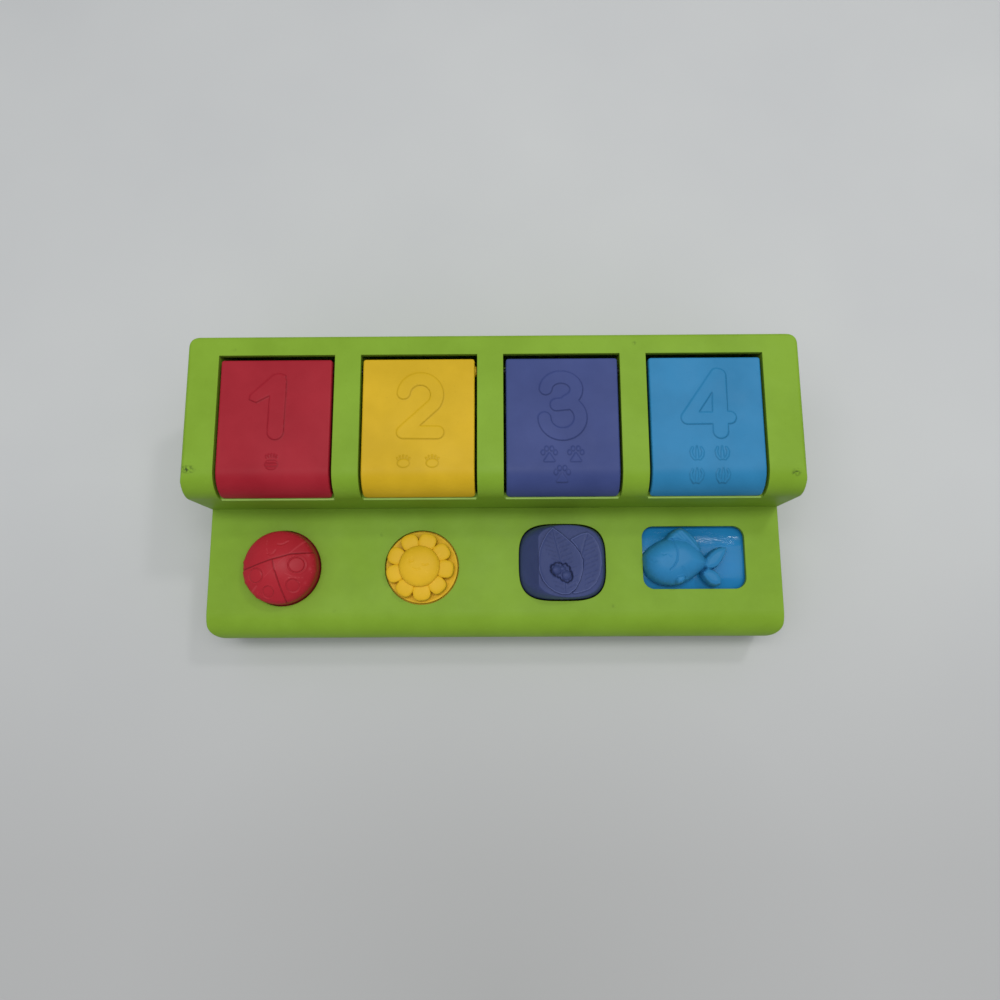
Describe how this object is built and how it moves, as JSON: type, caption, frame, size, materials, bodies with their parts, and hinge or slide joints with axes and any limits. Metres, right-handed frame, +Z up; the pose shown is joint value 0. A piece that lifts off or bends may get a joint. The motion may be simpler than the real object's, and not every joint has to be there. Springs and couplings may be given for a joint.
{
  "type": "pop up animal toy",
  "caption": "Stepped toddler toy: a push button, a turning dial, a flipping rocker and a sliding fish each release a sprung lid that pops up an animal.",
  "frame": {"origin": "middle of the footprint, on the surface that the toy stands on", "axes": "+X to the right as the child sees it, +Y to the back (the lids), +Z up; the controls are at -Y"},
  "size_m": [0.302, 0.148, 0.0845],
  "materials": {
    "green_plastic": "satin",
    "red_plastic": "satin",
    "yellow_plastic": "satin",
    "indigo_plastic": "satin",
    "blue_plastic": "glossy",
    "steel": "plain",
    "white_nylon": "matt",
    "grey_plastic": "matt",
    "brown_plastic": "satin",
    "slate_plastic": "satin",
    "orange_plastic": "satin",
    "duck_plastic": "satin"
  },
  "bodies": {
    "housing": {"top_housing": "green_plastic", "base_plate": "green_plastic", "case_screws": "steel", "red_hinge_pin": "steel", "yellow_hinge_pin": "steel", "indigo_hinge_pin": "steel", "blue_hinge_pin": "steel", "red_lid_spring": "steel", "yellow_lid_spring": "steel", "indigo_lid_spring": "steel", "blue_lid_spring": "steel", "rocker_pin": "steel", "button_spring": "steel", "fish_spring": "steel", "button_latch_spring": "steel", "dial_latch_spring": "steel", "rocker_latch_spring": "steel"},
    "red_lid": {"red_lid": "red_plastic", "red_lid_catch": "white_nylon", "bear_figure": "brown_plastic"},
    "yellow_lid": {"yellow_lid": "yellow_plastic", "yellow_lid_catch": "white_nylon", "elephant_figure": "slate_plastic"},
    "indigo_lid": {"indigo_lid": "indigo_plastic", "indigo_lid_catch": "white_nylon", "cat_figure": "orange_plastic"},
    "blue_lid": {"blue_lid": "blue_plastic", "blue_lid_catch": "white_nylon", "duck_figure": "duck_plastic"},
    "button": {"ladybug_button": "red_plastic"},
    "dial": {"flower_dial": "yellow_plastic"},
    "rocker": {"leaf_rocker": "indigo_plastic"},
    "fish": {"fish_slider": "blue_plastic", "fish_latch": "grey_plastic"},
    "push_latch": {"button_latch": "grey_plastic"},
    "turn_latch": {"dial_latch": "grey_plastic"},
    "flip_latch": {"rocker_latch": "grey_plastic"}
  },
  "joints": [
    {"name": "red_lid_hinge", "type": "hinge", "parent": "housing", "child": "red_lid", "pos_m": [-0.1065, 0.0565, 0.079], "axis": [-1, 0, 0], "range_deg": [0, 100], "deforming": ["red_lid_spring", "red_lid_catch"]},
    {"name": "yellow_lid_hinge", "type": "hinge", "parent": "housing", "child": "yellow_lid", "pos_m": [-0.0363, 0.0565, 0.079], "axis": [-1, 0, 0], "range_deg": [0, 100], "deforming": ["yellow_lid_spring", "yellow_lid_catch"]},
    {"name": "indigo_lid_hinge", "type": "hinge", "parent": "housing", "child": "indigo_lid", "pos_m": [0.0339, 0.0565, 0.079], "axis": [-1, 0, 0], "range_deg": [0, 100], "deforming": ["indigo_lid_spring", "indigo_lid_catch"]},
    {"name": "blue_lid_hinge", "type": "hinge", "parent": "housing", "child": "blue_lid", "pos_m": [0.1041, 0.0565, 0.079], "axis": [-1, 0, 0], "range_deg": [0, 100], "deforming": ["blue_lid_spring", "blue_lid_catch"]},
    {"name": "button_press", "type": "slide", "parent": "housing", "child": "button", "axis": [0, 0, -1], "range_m": [0, 0.006], "stiffness_N_per_m": 150, "springref_m": -0.006, "deforming": ["button_spring"]},
    {"name": "push_latch_slide", "type": "slide", "parent": "housing", "child": "push_latch", "axis": [0, -1, 0], "range_m": [0, 0.004], "stiffness_N_per_m": 20, "springref_m": -0.005, "deforming": ["button_latch_spring"]},
    {"name": "dial_turn", "type": "hinge", "parent": "housing", "child": "dial", "pos_m": [-0.0383, -0.0375, 0.04], "axis": [0, 0, -1], "range_deg": [0, 27.22]},
    {"name": "turn_latch_slide", "type": "slide", "parent": "housing", "child": "turn_latch", "axis": [0, -1, 0], "range_m": [0, 0.004], "stiffness_N_per_m": 20, "springref_m": -0.005, "deforming": ["dial_latch_spring"]},
    {"name": "rocker_flip", "type": "hinge", "parent": "housing", "child": "rocker", "pos_m": [0.0359, -0.03515, 0.033], "axis": [0, -1, 0], "range_deg": [0, 24]},
    {"name": "flip_latch_slide", "type": "slide", "parent": "housing", "child": "flip_latch", "axis": [1, 0, 0], "range_m": [0, 0.00499], "stiffness_N_per_m": 20, "springref_m": -0.005, "deforming": ["rocker_latch_spring"]},
    {"name": "fish_slide", "type": "slide", "parent": "housing", "child": "fish", "axis": [1, 0, 0], "range_m": [0, 0.013], "stiffness_N_per_m": 60, "springref_m": -0.008, "deforming": ["fish_spring"]}
  ],
  "couplings": [
    {"joint": "push_latch_slide", "follows": "button_press", "ratio": 0.66667},
    {"joint": "turn_latch_slide", "follows": "dial_turn", "m_per_rad": 0.0084202},
    {"joint": "flip_latch_slide", "follows": "rocker_flip", "m_per_rad": 0.011912}
  ]
}
